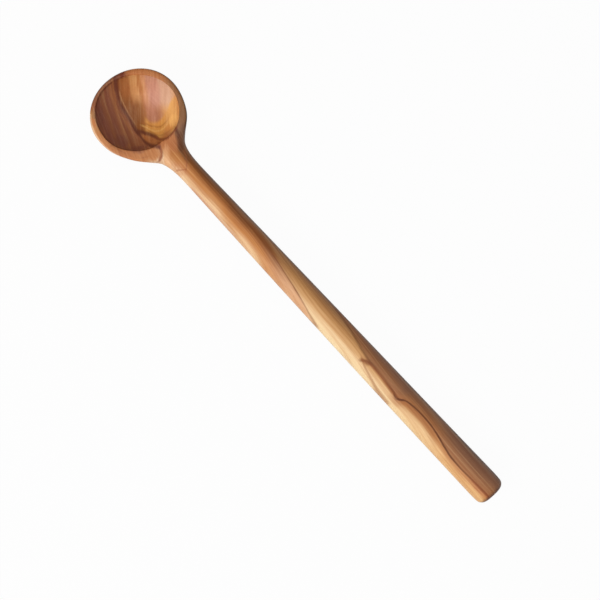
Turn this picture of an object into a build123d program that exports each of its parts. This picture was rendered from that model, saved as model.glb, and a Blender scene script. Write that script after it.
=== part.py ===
from build123d import *
import os

# A long wooden spoon with a small round bowl, carved from one billet of olive wood.
# Millimetres, +Z up. The handle runs along +X, the bowl lies at -X and opens upwards,
# and the origin is the middle of the spoon's outline on the surface that it rests on.

# Whole spoon
overall_length = 305.0

# Bowl
bowl_radius = 25.3  # widest place, over the rounding of the lip
bowl_height = 17.5  # from the surface to the top of the lip
lip_width = 3.6  # beside the hollow, before the edges are eased
floor_thickness = 4.0  # wood left under the deepest place of the hollow
hollow_shift = 1.1  # the hollow lies this much further from the handle than the bowl
lip_outer_round = 1.7
lip_inner_bevel = 0.5

# Handle, an oval bar: widest at its ends and slimmest at the neck
root_width = 20.0  # where the bar starts, inside the bowl
root_thickness = 11.5
neck_reach = 42.5  # from the bowl's centre to the slimmest place
neck_width = 12.2
neck_thickness = 11.0
neck_blend = 30.0  # radius of the sweep from the handle into the bowl
end_width = 17.1
end_thickness = 14.5
end_round = 4.2
end_sway = 0.7  # the carved handle bends this much to one side

# The bar starts inside the bowl, at this share of the bowl's radius
root_share = 0.25

# The bar swells fast at first and hardly at all near the end, and its bend comes late
swell_power = 1.8
sway_power = 3

# The thinnest lip carries its rounding and its bevel and keeps a little flat between them
outer_round_share = 0.68
inner_bevel_share = 0.2

# The end keeps a flat between its roundings
end_round_share = 0.3

# Worked out from the sizes above
bowl_x = bowl_radius - overall_length / 2
end_x = overall_length / 2
neck_x = bowl_x + neck_reach
root_x = bowl_x + root_share * bowl_radius
handle_steps = max(3, round((end_x - neck_x) / (neck_x - root_x)))
thin_lip = lip_width - hollow_shift
outer_round = min(lip_outer_round, outer_round_share * thin_lip)
inner_bevel = min(lip_inner_bevel, inner_bevel_share * thin_lip)
hollow_radius = bowl_radius - lip_width
hollow_depth = bowl_height - floor_thickness
hollow_x = bowl_x - hollow_shift
neck_height = bowl_height - neck_thickness / 2
end_height = end_thickness / 2
end_rounding = min(end_round, end_round_share * min(end_width, end_thickness))

# The outside is a ball whose lip, once rounded, is as wide as the bowl
edge_reach = bowl_radius - outer_round
edge_height = bowl_height - outer_round
ball_radius = (edge_reach**2 + edge_height**2 - outer_round**2) / (2 * (edge_height - outer_round))

# The hollow is a ball too, as wide as the lip's inner edge and as deep as the hollow
scoop_radius = (hollow_radius**2 + hollow_depth**2) / (2 * hollow_depth)


def oval(x, y, z, width, thickness):
    """One cross-section of the handle, square to its length, with its centre at x, y, z."""
    with BuildSketch(Plane(origin=(x, y, z), x_dir=(0, 1, 0), z_dir=(1, 0, 0))) as section:
        Ellipse(width / 2, thickness / 2)
    return section.sketch


def ball_profile(x, bottom, radius):
    """Half of a round section, standing on its bottom point, to be revolved."""
    with BuildSketch(Plane.XZ) as half:
        with BuildLine():
            Line((x, bottom), (x, bottom + 2 * radius))
            CenterArc((x, bottom + radius), radius, 90, 180)
        make_face()
    return half.sketch


with BuildPart() as spoon:
    # Handle, through ovals at even steps: its top is level with the lip up to the neck,
    # and from there its underside comes down to the surface at the far end
    add(oval(root_x, 0, bowl_height - root_thickness / 2, root_width, root_thickness))
    for step in range(handle_steps + 1):
        along = step / handle_steps
        swell = 1 - (1 - along) ** swell_power
        x = neck_x + along * (end_x - neck_x)
        y = end_sway * along**sway_power
        z = neck_height + along * (end_height - neck_height)
        width = neck_width + swell * (end_width - neck_width)
        thickness = neck_thickness + swell * (end_thickness - neck_thickness)
        add(oval(x, y, z, width, thickness))
    loft()

    # The end of the handle, eased all round
    fillet(spoon.faces().sort_by(Axis.X)[-1].edges(), end_rounding)

    # Outside of the bowl, still a whole ball
    add(ball_profile(bowl_x, 0, ball_radius))
    revolve(axis=Axis((bowl_x, 0, 0), (0, 0, 1)))

    # The sweep of the neck into the bowl, rolled round the whole root of the handle
    fillet(spoon.edges(Select.NEW), neck_blend)

    # The hollow and all that lies above the lip, cut in one turn, with the lip's inner edge bevelled
    with BuildSketch(Plane.XZ) as cut:
        add(ball_profile(hollow_x, floor_thickness, scoop_radius))
        with Locations((hollow_x, bowl_height)):
            Rectangle(2 * overall_length, 2 * ball_radius, align=(Align.MAX, Align.MIN))
        inner_edge = cut.vertices().sort_by_distance((hollow_x - hollow_radius, bowl_height))[0]
        chamfer(inner_edge, inner_bevel)
    revolve(axis=Axis((hollow_x, 0, 0), (0, 0, 1)), mode=Mode.SUBTRACT)

    # The lip's outer edge, rounded
    fillet(spoon.faces().filter_by(Axis.Z).sort_by(Axis.Z)[-1].outer_wire().edges(), outer_round)

spoon.part.label = "spoon"

os.makedirs("parts", exist_ok=True)
export_step(spoon.part, "parts/spoon.step")
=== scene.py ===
# %% [markdown]
# # A wooden spoon, carved from olive wood
# This notebook dresses one CAD solid, a long spoon with a small round bowl. The frame comes
# first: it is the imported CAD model, in metres, with the handle along +X, the bowl at -X and
# the spoon lying on z = 0. Everything made below is placed in that same frame. The CAD solid
# could simply be painted, but the real bowl was cut by eye and isn't quite round, so one
# finer piece takes its place.

# %% Load the frame
import math

import bmesh
import bpy
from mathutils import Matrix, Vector


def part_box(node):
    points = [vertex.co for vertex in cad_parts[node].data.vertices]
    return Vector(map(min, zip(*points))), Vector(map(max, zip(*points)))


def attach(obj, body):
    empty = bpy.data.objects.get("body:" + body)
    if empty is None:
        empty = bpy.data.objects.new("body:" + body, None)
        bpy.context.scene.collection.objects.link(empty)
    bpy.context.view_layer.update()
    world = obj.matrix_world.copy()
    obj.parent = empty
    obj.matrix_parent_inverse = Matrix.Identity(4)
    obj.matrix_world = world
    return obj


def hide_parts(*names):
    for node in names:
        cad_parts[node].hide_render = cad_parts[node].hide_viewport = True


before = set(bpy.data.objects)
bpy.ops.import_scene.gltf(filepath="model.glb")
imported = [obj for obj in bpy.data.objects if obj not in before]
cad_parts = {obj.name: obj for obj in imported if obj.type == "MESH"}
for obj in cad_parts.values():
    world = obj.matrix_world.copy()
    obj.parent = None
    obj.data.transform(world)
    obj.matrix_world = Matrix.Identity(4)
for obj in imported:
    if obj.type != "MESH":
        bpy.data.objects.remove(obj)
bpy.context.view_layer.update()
spoon_low, spoon_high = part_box("spoon")
print("pieces in the frame:", sorted(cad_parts))
print("spoon from", [round(c, 4) for c in spoon_low], "to", [round(c, 4) for c in spoon_high])

# %% [markdown]
# The photograph looks straight down on the spoon, which lies slanted in the picture, its bowl
# at the top left. The spoon stays along X here and the camera is turned instead. A long lens
# from far off keeps the outline true, as product photographs have it. The camera could also
# be orthographic, but a real lens shows the far sides of the rim slightly, as the eye does.

# %% Camera
MM = 0.001
PICTURE_TURN = math.radians(47.06)  # how far the handle is turned clockwise from level
FRAME_WIDTH = 321.7 * MM  # what the picture's width takes in, at the height of the spoon
AIM = Vector((4.75, -4.45, 12.0)) * MM  # the place that the camera looks straight down at
LENS = 85.0
SENSOR = 36.0

camera_data = bpy.data.cameras.new("camera")
camera_data.lens = LENS
camera_data.sensor_width = SENSOR
camera_data.clip_start = 0.01
camera_data.clip_end = 10.0
camera = bpy.data.objects.new("camera", camera_data)
bpy.context.scene.collection.objects.link(camera)
camera.location = AIM + Vector((0, 0, FRAME_WIDTH * LENS / SENSOR))
camera.rotation_euler = (0, 0, PICTURE_TURN)
bpy.context.scene.camera = camera
bpy.context.scene.view_settings.view_transform = "Standard"
print("camera is", round(camera.location.z, 3), "m above the table")

# %% [markdown]
# The bowl is turned round on the outside and scooped round on the inside, so its cage is a
# set of rings. A ball made from latitude rings would pinch at its bottom point, where the
# light would catch. So the cage starts from a small square grid, rounded to a disc: all its
# faces keep four sides, and a Subdivision Surface makes a calm, even surface of it.

# %% The bowl's bottom, a grid made round
BOWL_RADIUS = 25.3
BOWL_X = spoon_low.x / MM + BOWL_RADIUS
BALL_RADIUS = 28.5
BOTTOM_RADIUS = 8.0
SEGMENTS = 8  # squares along each side of the grid, so a ring has four times as many
RING_GAIN = 3 / (2 + math.cos(math.pi / (2 * SEGMENTS)))  # makes up for what subdividing draws in


def ball_height(radius):
    """How high the outside of the bowl is at this distance from its axis."""
    return BALL_RADIUS - math.sqrt(BALL_RADIUS**2 - radius**2)


def round_grid(cage, centre_x, radius, height):
    """A square grid pressed to a disc; height gives z for a distance from the axis."""
    disc = bmesh.ops.create_grid(cage, x_segments=SEGMENTS, y_segments=SEGMENTS, size=1.0)["verts"]
    for vert in disc:
        x, y = vert.co.x, vert.co.y
        x, y = x * math.sqrt(1 - y * y / 2), y * math.sqrt(1 - x * x / 2)
        away = math.hypot(x, y) * radius
        vert.co = (centre_x + x * radius * RING_GAIN, y * radius * RING_GAIN, height(away))


cage = bmesh.new()
patch_side = cage.verts.layers.float.new("across")  # both are used where the handle grows
patch_rise = cage.verts.layers.float.new("upward")
round_grid(cage, BOWL_X, BOTTOM_RADIUS, ball_height)
rim = [edge for edge in cage.edges if edge.is_boundary]
print("bottom of the bowl:", len(cage.faces), "faces,", len(rim), "edges round it")

# %% [markdown]
# A bowl cut by hand and eye isn't a true circle: this one bulges a little on one side, and its
# hollow is an oval that the carver left flatter towards the handle. Scaling a round ring
# would be quick, but it would keep the two outlines alike, which they aren't. So a few slow
# waves push each outline in and out, and single bulges do so at one place.

# %% How the outlines leave their circles
# each wave: how many times it comes round, how far it pushes in millimetres, its direction
OUTLINE_WAVES = [(0, -0.1, 0), (1, 0.65, -15), (2, 0.7, 60), (3, 0.35, 0)]
HOLLOW_WAVES = [(1, 0.3, 50), (2, 1.1, 50), (3, 0.25, -40)]
# each bulge: its direction, how far it pushes, how many degrees it reaches to each side
SHOULDER_BULGES = [(34, 1.55, 19), (-32, 1.6, 17)]
HOLLOW_BULGES = [(-3, -0.8, 10), (-80, 0.85, 26), (34, 0.4, 12)]


def soft_step(value, start, end):
    """0 before start, 1 after end, and a smooth rise between them."""
    share = min(1, max(0, (value - start) / (end - start)))
    return share * share * (3 - 2 * share)


def waves(angle, table):
    """The push of all the waves of a table in one direction."""
    return sum(push * math.cos(count * (angle - math.radians(turn))) for count, push, turn in table)


def bulges(angle, table):
    """The push of all the bulges of a table in one direction."""
    degrees = math.degrees(angle)
    return sum(push * math.exp(-(((degrees - turn) / reach) ** 2)) for turn, push, reach in table)


print("the outline's waves push its -X end by", round(waves(math.pi, OUTLINE_WAVES), 2), "mm")

# %% [markdown]
# The bowl's outline swells into shoulders on both sides of the handle and has no waves
# there, because they would show as dents beside its root. The hollow has its waves all
# round. Sculpting by hand could do both, but numbers can be set right one at a time.

# %% The pushes of the outline and the hollow
WAVES_END = (16, 23)  # the outline's waves give way between these distances along +X


def outline_push(angle, x):
    """The outline's push, without its waves where the handle is."""
    beside_handle = soft_step(x, *WAVES_END)
    return waves(angle, OUTLINE_WAVES) * (1 - beside_handle) + bulges(angle, SHOULDER_BULGES)


def hollow_push(angle, x):
    """The push of the hollow's edge."""
    return waves(angle, HOLLOW_WAVES) + bulges(angle, HOLLOW_BULGES)


print("the outline's push towards -X:", round(outline_push(math.pi, -BOWL_RADIUS), 2), "mm")

# %% [markdown]
# The wall, the lip and the hollow are rings, each one pulled out of the last. A lathe's
# profile could be spun instead, but a spun wall is round, and here every vertex has to be
# pushed by its own amount. The pushes are small underneath and full at the lip.

# %% One ring pulled out of the last
WIDTH_MARGIN = 0.01
LEAST_Y = spoon_low.y / MM + WIDTH_MARGIN
MOST_Y = spoon_high.y / MM - WIDTH_MARGIN


def next_ring(cage, edges, centre, radius, height, push, share):
    """Pulls one more ring out of these edges and returns its edges and its vertices."""
    made = bmesh.ops.extrude_edge_only(cage, edges=edges)["geom"]
    verts = [item for item in made if isinstance(item, bmesh.types.BMVert)]
    for vert in verts:
        heading = Vector((vert.co.x - BOWL_X, vert.co.y, 0)).normalized()
        angle = math.atan2(heading.y, heading.x)
        reach = radius * RING_GAIN + share * push(angle, heading.x * radius)
        vert.co = heading * reach + Vector((centre, 0, height))
        vert.co.y = max(LEAST_Y, min(MOST_Y, vert.co.y))  # no wider than the CAD bowl
    ring = set(verts)
    edges = [item for item in made if isinstance(item, bmesh.types.BMEdge)]
    return [edge for edge in edges if ring.issuperset(edge.verts)], verts


print("the bowl may be", round(MOST_Y - LEAST_Y, 2), "mm wide")

# %% [markdown]
# The lip is highest just outside the hollow and slopes away from there into a soft outer
# edge, while its inner edge is left nearly sharp. A bevel on a plain ring would ease both
# edges alike, so the rings themselves stand close together at the sharp edge and further
# apart at the soft one. A second rounded grid closes the hollow.

# %% Wall, lip and hollow
HOLLOW_X = BOWL_X - 0.5  # the hollow lies a little further from the handle than the bowl
HOLLOW_RADIUS = 24.19
HOLLOW_FLOOR = 4.0
HOLLOW_BOTTOM_RADIUS = 7.0
OUTLINE_GROWTH = (6, 25)  # the outline's pushes grow to their full size between these radii
HOLLOW_GROWTH = (8, 21)  # and the hollow's between these

# distance from the axis and height of each ring, in millimetres
WALL = [(12.0, 2.65), (15.6, 4.6), (18.9, 7.1), (21.7, 9.95), (23.8, 12.7), (24.8, 14.6)]
LIP = [(25.05, 15.7), (24.9, 16.6), (24.4, 17.2), (23.6, 17.5)]
HOLLOW = [(21.7, 17.5), (21.4, 17.25), (21.15, 16.6), (20.35, 14.9), (18.4, 12.3)]
HOLLOW += [(15.9, 9.85), (13.0, 7.65), (10.0, 6.05)]


def hollow_height(radius):
    """How high the bottom of the hollow is at this distance from its axis."""
    return HOLLOW_FLOOR + HOLLOW_RADIUS - math.sqrt(HOLLOW_RADIUS**2 - radius**2)


rings = []
for radius, height in WALL + LIP:
    share = soft_step(radius, *OUTLINE_GROWTH)
    rim, verts = next_ring(cage, rim, BOWL_X, radius, height, outline_push, share)
    rings.append(verts)
for radius, height in HOLLOW:
    share = soft_step(radius, *HOLLOW_GROWTH)
    rim, _ = next_ring(cage, rim, HOLLOW_X, radius, height, hollow_push, share)
round_grid(cage, HOLLOW_X, HOLLOW_BOTTOM_RADIUS, hollow_height)
bmesh.ops.bridge_loops(cage, edges=[edge for edge in cage.edges if edge.is_boundary])
bmesh.ops.recalc_face_normals(cage, faces=cage.faces)
print("bowl:", len(cage.faces), "faces, open edges:", sum(edge.is_boundary for edge in cage.edges))

# %% [markdown]
# Handle and bowl are one billet, so the grain and the surface run on from one to the other. A
# handle of its own, pushed into the bowl, would show a seam. So it grows out of the bowl's
# wall: a patch of the wall on the handle's side is extruded again and again. Every vertex
# first remembers its own place in the patch, from -1 to 1 sideways and upwards.

# %% The patch that the handle grows from
PATCH_RINGS = rings[2:10]
PATCH_REACH = math.radians(35)

patch_verts = set()
for row, ring in enumerate(PATCH_RINGS):
    near = [vert for vert in ring if abs(math.atan2(vert.co.y, vert.co.x - BOWL_X)) < PATCH_REACH]
    near.sort(key=lambda vert: vert.co.y)
    for column, vert in enumerate(near):
        vert[patch_side] = 2 * column / (len(near) - 1) - 1
        vert[patch_rise] = 2 * row / (len(PATCH_RINGS) - 1) - 1
    patch_verts.update(near)
patch = [face for face in cage.faces if patch_verts.issuperset(face.verts)]
print("patch:", len(patch), "faces,", len(near), "vertices across")

# %% [markdown]
# Near the bowl the handle's section is broad and almost flat on top, and it draws in to the slim
# neck in one long sweep. A fillet would be the same all round, and the carver's sweep isn't, so
# each section there is set one by one, closest together where the sweep is tightest.

# %% Cross-sections at the root
NECK_REACH = 42.5  # from the bowl's axis to the slimmest place
NECK_HALF_WIDTH = 6.0
NECK_MIDDLE = 12.0
ROOT_TOP = 17.42  # almost level with the lip

# distance from the bowl's axis, side shift, half width, top, middle, bottom, roundness of the top
ROOT_SECTIONS = [
    (24.6, -0.3, 11.8, ROOT_TOP, 13.4, 6.35, 0.6),
    (26.2, -0.4, 10.1, ROOT_TOP, 13.0, 6.6, 0.75),
    (28.2, -0.55, 8.3, ROOT_TOP, 12.6, 6.7, 0.85),
    (31.4, -0.65, 7.15, ROOT_TOP, 12.2, 6.7, 0.93),
    (36.0, -0.6, 6.3, ROOT_TOP, 12.1, 6.6, 0.97),
    (NECK_REACH, -0.55, NECK_HALF_WIDTH, ROOT_TOP, NECK_MIDDLE, 6.5, 1.0),
]
print("sections at the root:", len(ROOT_SECTIONS))

# %% [markdown]
# From the neck on the section is an oval that swells towards the far end and bends a little
# to one side. A taper between two ovals would be simpler, but the real one swells fast at
# first and hardly at all near the end, where it fills the palm.

# %% Cross-sections along the shaft
END_X = spoon_high.x / MM
NECK_X = BOWL_X + NECK_REACH
HALF_WIDTH_GAIN = 2.4  # from the neck to the end
END_FLARE = 0.4  # only in the last stretch
NECK_HALF_THICKNESS = 5.5
HALF_THICKNESS_GAIN = 1.75
MIDDLE_DROP = 4.75
NECK_SHIFT = -0.6
END_SWAY = 0.7
SWELL_POWER = 1.8


def shaft_section(x):
    """Side shift, half width, top, middle and bottom of the handle beyond its neck."""
    along = (x - NECK_X) / (END_X - NECK_X)
    swell = 1 - (1 - along) ** SWELL_POWER
    half_width = NECK_HALF_WIDTH + swell * HALF_WIDTH_GAIN + END_FLARE * along**6
    half_thickness = NECK_HALF_THICKNESS + swell * HALF_THICKNESS_GAIN
    middle = NECK_MIDDLE - along * MIDDLE_DROP
    shift = NECK_SHIFT + END_SWAY * along**3
    return shift, half_width, middle + half_thickness, middle, middle - half_thickness


print("the end is", round(2 * shaft_section(END_X)[1], 1), "mm wide before its edge is eased")

# %% [markdown]
# The end is cut square and its edge is eased with sandpaper. A Bevel modifier could round it,
# but the three last steps of the same extrusion do it as well: each is set in a little more,
# along a quarter of a circle.

# %% All the cross-sections, with the eased end
SHAFT_STEPS = 15
END_ROUND = 4.2
END_ANGLES = (30, 58, 80)  # where the rounding is cut, in degrees of its quarter circle

sections = [(BOWL_X + reach, *rest) for reach, *rest in ROOT_SECTIONS]
for step in range(1, SHAFT_STEPS + 1):
    x = NECK_X + (END_X - END_ROUND - NECK_X) * step / SHAFT_STEPS
    sections.append((x, *shaft_section(x), 1.0))
shift, half_width, top, middle, bottom = shaft_section(END_X)
for angle in END_ANGLES:
    turned = math.radians(angle)
    x = END_X - END_ROUND * (1 - math.sin(turned))
    inset = END_ROUND * (1 - math.cos(turned))
    sections.append((x, shift, half_width - inset, top - inset, middle, bottom + inset, 1.0))
print("cross-sections:", len(sections))

# %% [markdown]
# Now the patch is pulled through all the sections. A vertex keeps its place: the patch is a
# square, and a roundness of 1 presses that square to an oval, while less leaves it flatter,
# as the root is on top.

# %% Grow the handle
SECTION_CORNERS = 24  # about as many vertices as lie round a section
SECTION_GAIN = 3 / (2 + math.cos(math.tau / SECTION_CORNERS))  # as for the rings
UNDER_ROUNDNESS = 0.95


def place_in_section(vert, x, y, half_width, top, middle, bottom, roundness):
    """Moves a vertex of the patch to its own place in one cross-section of the handle."""
    a = vert[patch_side]
    b = vert[patch_rise]
    share = roundness if b > 0 else UNDER_ROUNDNESS
    side = a * (1 - share) + a * math.sqrt(1 - b * b / 2) * share
    rise = b * (1 - share) + b * math.sqrt(1 - a * a / 2) * share
    reach = (top - middle) if rise > 0 else (middle - bottom)
    vert.co = (x, y + side * half_width * SECTION_GAIN, middle + rise * reach * SECTION_GAIN)


for section in sections:
    grown = bmesh.ops.extrude_face_region(cage, geom=patch)["geom"]
    left_behind = [face for face in patch if face.is_valid]
    bmesh.ops.delete(cage, geom=left_behind, context="FACES_ONLY")
    patch = [item for item in grown if isinstance(item, bmesh.types.BMFace)]
    for vert in {vert for face in patch for vert in face.verts}:
        place_in_section(vert, *section)
loose = [vert for vert in cage.verts if not vert.link_faces]
bmesh.ops.delete(cage, geom=loose, context="VERTS")
bmesh.ops.recalc_face_normals(cage, faces=cage.faces)
open_edges = sum(not edge.is_manifold for edge in cage.edges)
print("spoon cage:", len(cage.faces), "faces, edges that aren't closed:", open_edges)

# %% [markdown]
# Where the lip meets the handle, its shoulders slope away on both sides and leave the
# handle's rounded back standing proud, as far as the hollow. They could be cut with a plane,
# but the carver's knife left no edge there, so the vertices sink softly instead.

# %% Shoulders
SHOULDER_DROP = 0.75
SHOULDER_ANGLE = 27  # degrees to each side of the handle
SHOULDER_REACH = 9  # and how many degrees they spread from there
LIP_HEIGHTS = (15, 17)  # only what lies above these heights sinks
ROOT_RADII = (25, 31)  # it sinks out to where the handle begins
LIP_RADII = (22.4, 23.6)  # and in to the lip's inner edge

for vert in cage.verts:
    out = Vector((vert.co.x - BOWL_X, vert.co.y))
    angle = math.degrees(math.atan2(out.y, out.x))
    beside = math.exp(-(((abs(angle) - SHOULDER_ANGLE) / SHOULDER_REACH) ** 2))
    at_top = soft_step(vert.co.z, *LIP_HEIGHTS)
    on_bowl = 1 - soft_step(out.length, *ROOT_RADII)
    off_hollow = soft_step(out.length, *LIP_RADII)
    vert.co.z -= SHOULDER_DROP * beside * (at_top * on_bowl * off_hollow)
print("widest place of the bowl:", round(max(abs(vert.co.y) for vert in cage.verts), 2), "mm")

# %% [markdown]
# The cage becomes a mesh in metres and gets its Subdivision Surface. It could be subdivided as a
# bmesh too, but a modifier leaves the cage small and easy to change. The piece rides on the only
# body that there is and stands for the CAD spoon, which is hidden.

# %% Finish the mesh
SMOOTH_LEVELS = 3

bmesh.ops.scale(cage, vec=(MM, MM, MM), verts=cage.verts)
for face in cage.faces:
    face.smooth = True
spoon_mesh = bpy.data.meshes.new("spoon_carved")
cage.to_mesh(spoon_mesh)
cage.free()
spoon = bpy.data.objects.new("spoon_carved", spoon_mesh)
bpy.context.scene.collection.objects.link(spoon)
smooth = spoon.modifiers.new("smooth", "SUBSURF")
smooth.levels = SMOOTH_LEVELS
smooth.render_levels = SMOOTH_LEVELS
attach(spoon, "root")
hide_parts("spoon")
print("spoon:", len(spoon_mesh.polygons), "faces before they are smoothed")

# %% [markdown]
# Olive wood is pale and golden where it is young, pink and brown further in, and crossed by
# dark brown veins. An image of wood could be wrapped round the spoon, but it would smear in
# the hollow and at the end. So the figure is a solid one, as in real timber: a point's colour
# depends on where it lay in the log, and wherever the spoon is cut the veins come out in the
# right curves. That takes many small nodes, and this helper places one and links it.

# %% A helper for one node
def add(tree, kind, sockets=None, **settings):
    """Adds one node. Each entry of sockets is a value to set or another node's output to link."""
    made = tree.nodes.new("ShaderNode" + kind)
    for name, value in settings.items():
        setattr(made, name, value)
    for key, value in (sockets or {}).items():
        if isinstance(value, bpy.types.NodeSocket):
            tree.links.new(value, made.inputs[key])
        else:
            made.inputs[key].default_value = value
    return made


print("materials in the frame:", len(bpy.data.materials))

# %% [markdown]
# Where a point lies in the wood is worked out with sums, and each sum is a Math node. They
# could be placed one by one in the editor, but a dozen lines of text are easier to follow
# than a dozen crossing links, so the commonest sums get short names.

# %% Helpers for arithmetic
def calc(tree, operation, first, second=0.0, third=0.0):
    """One step of arithmetic on numbers."""
    return add(tree, "Math", {0: first, 1: second, 2: third}, operation=operation).outputs[0]


def minus(tree, first, second):
    """The first number less the second."""
    return calc(tree, "SUBTRACT", first, second)


def times(tree, first, second):
    """The two numbers multiplied."""
    return calc(tree, "MULTIPLY", first, second)


def larger(tree, first, second):
    """The larger of the two numbers."""
    return calc(tree, "MAXIMUM", first, second)


def ease(tree, value, start, end, low=0.0, high=1.0):
    """Goes smoothly from low to high while value goes from start to end."""
    sockets = {0: value, 1: start, 2: end, 3: low, 4: high}
    return add(tree, "MapRange", sockets, interpolation_type="SMOOTHSTEP").outputs[0]


print("node groups in the frame:", len(bpy.data.node_groups))

# %% [markdown]
# A ramp gives the colours across the wood's layers, like a core drilled through the log. The
# rest is laid over it as thin coats, each with a mask that says where it covers. One ramp
# with every colour in it would be simpler, but then all the changes would run side by side.

# %% Helpers for colours
def colour(red, green, blue):
    """A colour as a paint chart gives it, 0 to 255, made linear for the shader."""
    shares = [channel / 255 for channel in (red, green, blue)]
    linear = [c / 12.92 if c < 0.04045 else ((c + 0.055) / 1.055) ** 2.4 for c in shares]
    return (*linear, 1.0)


def mix(tree, share, first, second, how="MIX"):
    """Colour first, with this share of colour second over it."""
    sockets = {0: share, 6: first, 7: second}
    return add(tree, "Mix", sockets, data_type="RGBA", blend_type=how).outputs[2]


def coat(tree, surface, mask, tone, strength):
    """The surface's colour with one tone laid over it, at this strength, where the mask is."""
    return mix(tree, times(tree, mask, strength), surface, colour(*tone))


def ramp(tree, value, stops):
    """Colours along a value; each stop is a place and its colour."""
    start, end = stops[0][0], stops[-1][0]
    share = add(tree, "MapRange", {0: value, 1: start, 2: end}).outputs[0]
    node = add(tree, "ValToRGB", {0: share})
    elements = node.color_ramp.elements
    while len(elements) < len(stops):
        elements.new(0.5)
    for element, (where, tone) in zip(elements, stops):
        element.position = (where - start) / (end - start)
        element.color = colour(*tone)
    return node.outputs[0]


print("a mid brown for the shader:", [round(c, 3) for c in colour(150, 100, 62)])

# %% [markdown]
# An effect that is used again and again, such as a vein, is a node group: it is built once,
# and each use gives it its own values. Copies of the nodes would do the same, but a change
# would then have to be made in every copy.

# %% Helpers for node groups
def new_group(name, sockets_in, sockets_out):
    """An empty shader node group, and its input and output sockets."""
    group = bpy.data.node_groups.new(name, "ShaderNodeTree")
    for label, kind, value in sockets_in:
        socket = group.interface.new_socket(label, in_out="INPUT", socket_type="NodeSocket" + kind)
        if value is not None:
            socket.default_value = value
    for label, kind in sockets_out:
        group.interface.new_socket(label, in_out="OUTPUT", socket_type="NodeSocket" + kind)
    given = group.nodes.new("NodeGroupInput").outputs
    gives = group.nodes.new("NodeGroupOutput").inputs
    return group, given, gives


def use(tree, group, **values):
    """Places a group in a tree, fills its inputs and returns its first output."""
    node = tree.nodes.new("ShaderNodeGroup")
    node.node_tree = group
    for key, value in values.items():
        socket = node.inputs[key.replace("_", " ")]
        if isinstance(value, bpy.types.NodeSocket):
            tree.links.new(value, socket)
        else:
            socket.default_value = value
    return node.outputs[0]


print("groups so far:", len(bpy.data.node_groups))

# %% [markdown]
# Between the bold veins the wood is full of fine streaks. A noise that is stretched along the
# grain draws them. Where the grain bends, the noise has to bend with it, so it is fed with
# the distance across the grain, measured from a drawn line, and with the way along it.

# %% Streaks
STREAK_INPUTS = [("Across", "Float", 0.0), ("Along", "Float", 0.0), ("Depth", "Float", 0.0)]
STREAK_INPUTS += [("Fineness", "Float", 1.0), ("Stretch", "Float", 0.03), ("Seed", "Float", 0.0)]
DEPTH_STRETCH = 0.06  # a streak is a thin sheet that goes far down into the wood

streaks, given, gives = new_group("streaks", STREAK_INPUTS, [("Streak", "Float")])
across_scaled = calc(streaks, "MULTIPLY_ADD", given["Across"], given["Fineness"], given["Seed"])
along_scaled = calc(streaks, "MULTIPLY_ADD", given["Along"], given["Stretch"], given["Seed"])
depth_scaled = times(streaks, given["Depth"], DEPTH_STRETCH)
lookup = add(streaks, "CombineXYZ", {0: across_scaled, 1: along_scaled, 2: depth_scaled})
streak_look = {"Vector": lookup.outputs[0], "Scale": 1.0, "Detail": 3.0, "Roughness": 0.6}
streak_noise = add(streaks, "TexNoise", streak_look)
streaks.links.new(streak_noise.outputs[0], gives["Streak"])


def shake(tree, value, streak, reach):
    """Pushes a value to and fro by a streak noise, so that borders run ragged along the grain."""
    return calc(tree, "MULTIPLY_ADD", minus(tree, streak, 0.5), reach, value)


print("streaks:", len(streaks.nodes), "nodes")

# %% [markdown]
# The fibres are finer still and run straight along the spoon, as it was sawn. The same kind
# of noise does for them and for the pores, only stretched differently.

# %% Fibres
FIBRE_STRETCH = (0.09, 1.5, 1.5)
PORE_STRETCH = (0.3, 2.4, 2.4)
FIBRE_INPUTS = [("Position", "Vector", None), ("Stretch", "Vector", FIBRE_STRETCH)]

fibres, given, gives = new_group("fibres", FIBRE_INPUTS, [("Fibre", "Float")])
fibre_sockets = {0: given["Position"], 1: given["Stretch"]}
stretched = add(fibres, "VectorMath", fibre_sockets, operation="MULTIPLY").outputs[0]
fibre_look = {"Vector": stretched, "Scale": 1.0, "Detail": 4.0, "Roughness": 0.7}
fibre_noise = add(fibres, "TexNoise", fibre_look)
fibres.links.new(fibre_noise.outputs[0], gives["Fibre"])
print("fibres:", len(fibres.nodes), "nodes")

# %% [markdown]
# The veins and zones that give this spoon its own face are drawn as lines on the top seen from
# above. Each line is a curve that gives its level for every place along it. On the handle the
# wood's layers lean sideways: a ray dropped on the finished mesh finds how deep the wood is cut
# there, and so which leaning layer the line lies in. The layer then shows wherever the surface
# meets it, underneath and on the sides too.

# %% Lines drawn on the wood
LEAN = 0.43  # the layers lean this far sideways for each millimetre of depth
TOP = 17.5  # the height of the lip, at which a leaning layer is measured
HANDLE_REACH = 160.0  # a line on the handle is drawn at most this far from x = 0
BOWL_REACH = 32.0  # and one in the bowl this far from the bowl's axis
LEVEL_REACH = 40.0  # a line's level is at most this, to either side

evaluated = spoon.evaluated_get(bpy.context.evaluated_depsgraph_get())


def layer_under(x, y):
    """The leaning layer that the top surface cuts at this place."""
    start = Vector((x, y, 2 * TOP)) * MM
    hit, place, _, _ = evaluated.ray_cast(start, Vector((0, 0, -1)))
    z = place.z / MM if hit else TOP / 2
    return y - LEAN * (z - TOP)


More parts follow.
